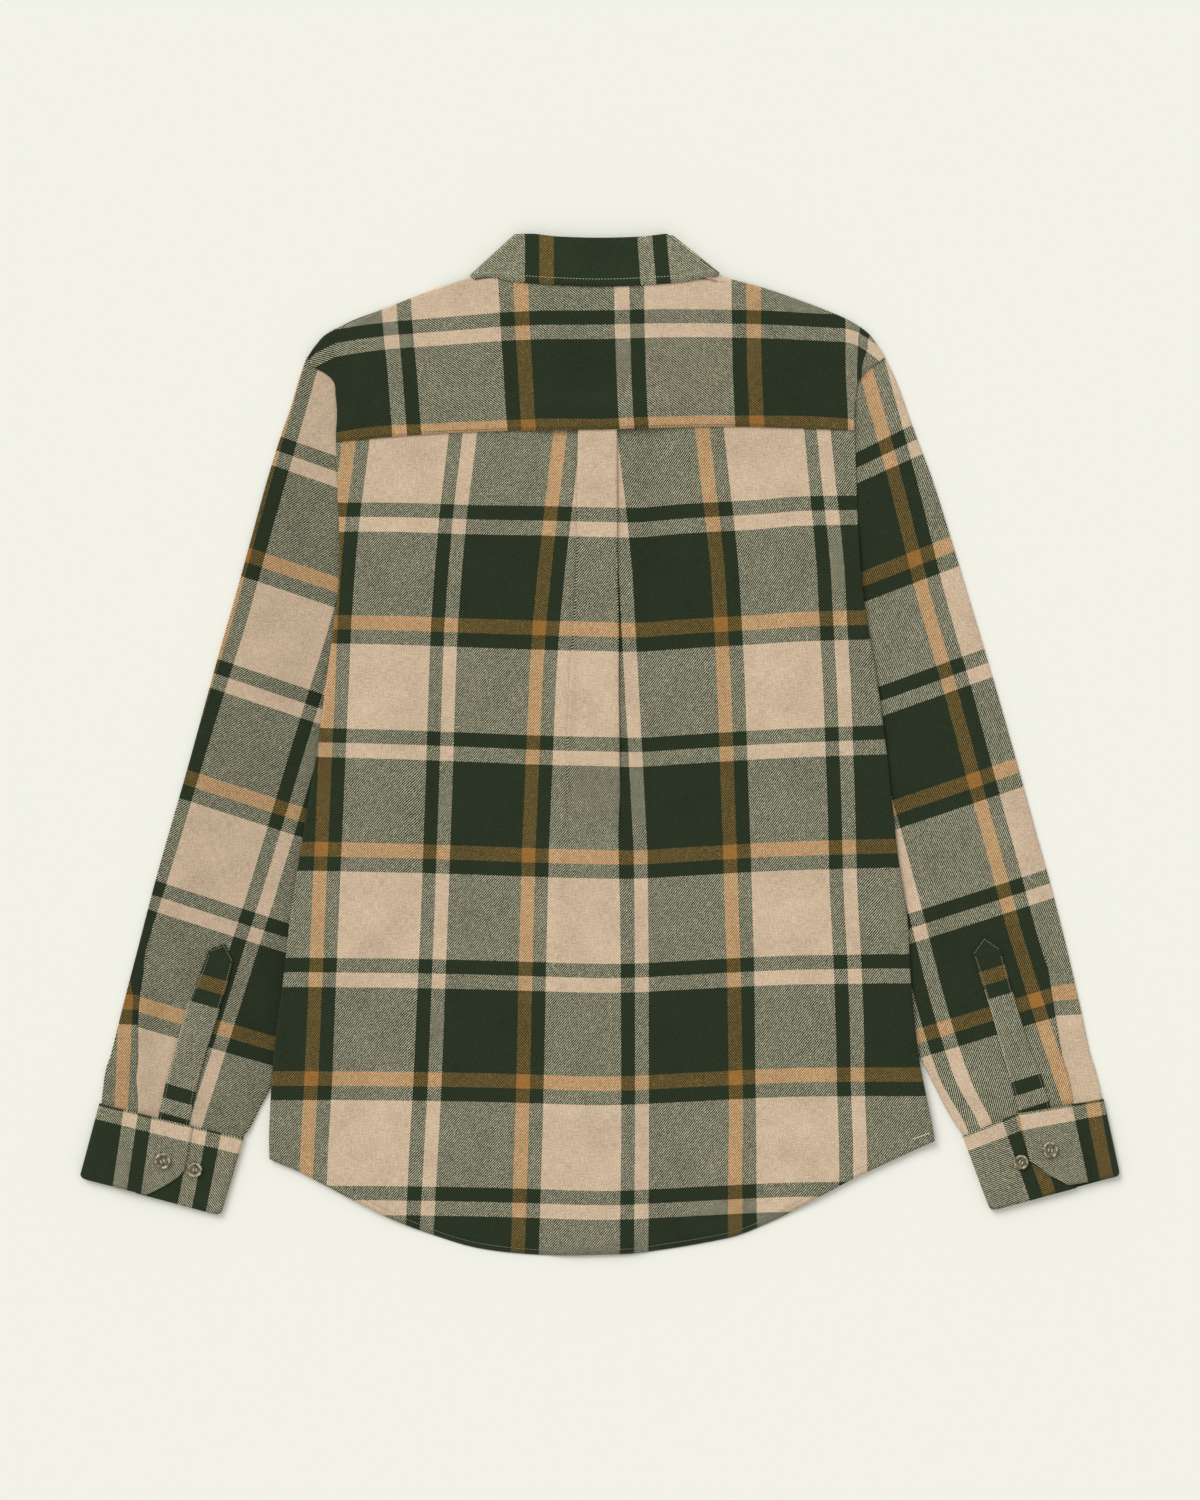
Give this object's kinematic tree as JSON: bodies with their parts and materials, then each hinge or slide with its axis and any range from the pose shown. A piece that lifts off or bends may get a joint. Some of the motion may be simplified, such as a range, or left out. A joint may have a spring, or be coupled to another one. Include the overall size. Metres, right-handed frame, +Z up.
{
  "type": "shirt",
  "caption": "Long-sleeved plaid flannel shirt, buttoned up and laid flat on its front, with a yoke, a centre-back box pleat, a folded collar and buttoned cuffs.",
  "frame": {"origin": "On the surface the shirt lies on, under the centre of its outline.", "axes": "+Z points up through the back of the shirt, +Y points to the collar, and +X points to the wearer's right."},
  "size_m": [0.8315, 0.8169, 0.0107],
  "materials": {
    "back_panel": "brushed plaid twill",
    "back_yoke": "brushed plaid twill",
    "front_left": "brushed plaid twill",
    "front_right": "brushed plaid twill",
    "collar_fall": "brushed plaid twill",
    "collar_stand": "brushed plaid twill",
    "sleeve_left": "brushed plaid twill",
    "sleeve_right": "brushed plaid twill",
    "cuff_left": "brushed plaid twill",
    "cuff_right": "brushed plaid twill",
    "sleeve_placket_left": "brushed plaid twill",
    "sleeve_placket_right": "brushed plaid twill",
    "cuff_button_left": "satin resin",
    "cuff_button_right": "satin resin",
    "cuff_link_button_left": "satin resin",
    "cuff_link_button_right": "satin resin",
    "front_button_1": "satin resin",
    "front_button_2": "satin resin",
    "front_button_3": "satin resin",
    "front_button_4": "satin resin",
    "front_button_5": "satin resin",
    "front_button_6": "satin resin",
    "collar_button": "satin resin"
  },
  "bodies": {
    "root": {"back_panel": "back_panel", "back_yoke": "back_yoke", "front_left": "front_left", "front_right": "front_right", "collar_fall": "collar_fall", "collar_stand": "collar_stand", "sleeve_left": "sleeve_left", "sleeve_right": "sleeve_right", "cuff_left": "cuff_left", "cuff_right": "cuff_right", "sleeve_placket_left": "sleeve_placket_left", "sleeve_placket_right": "sleeve_placket_right", "cuff_button_left": "cuff_button_left", "cuff_button_right": "cuff_button_right", "cuff_link_button_left": "cuff_link_button_left", "cuff_link_button_right": "cuff_link_button_right", "front_button_1": "front_button_1", "front_button_2": "front_button_2", "front_button_3": "front_button_3", "front_button_4": "front_button_4", "front_button_5": "front_button_5", "front_button_6": "front_button_6", "collar_button": "collar_button"}
  },
  "joints": []
}
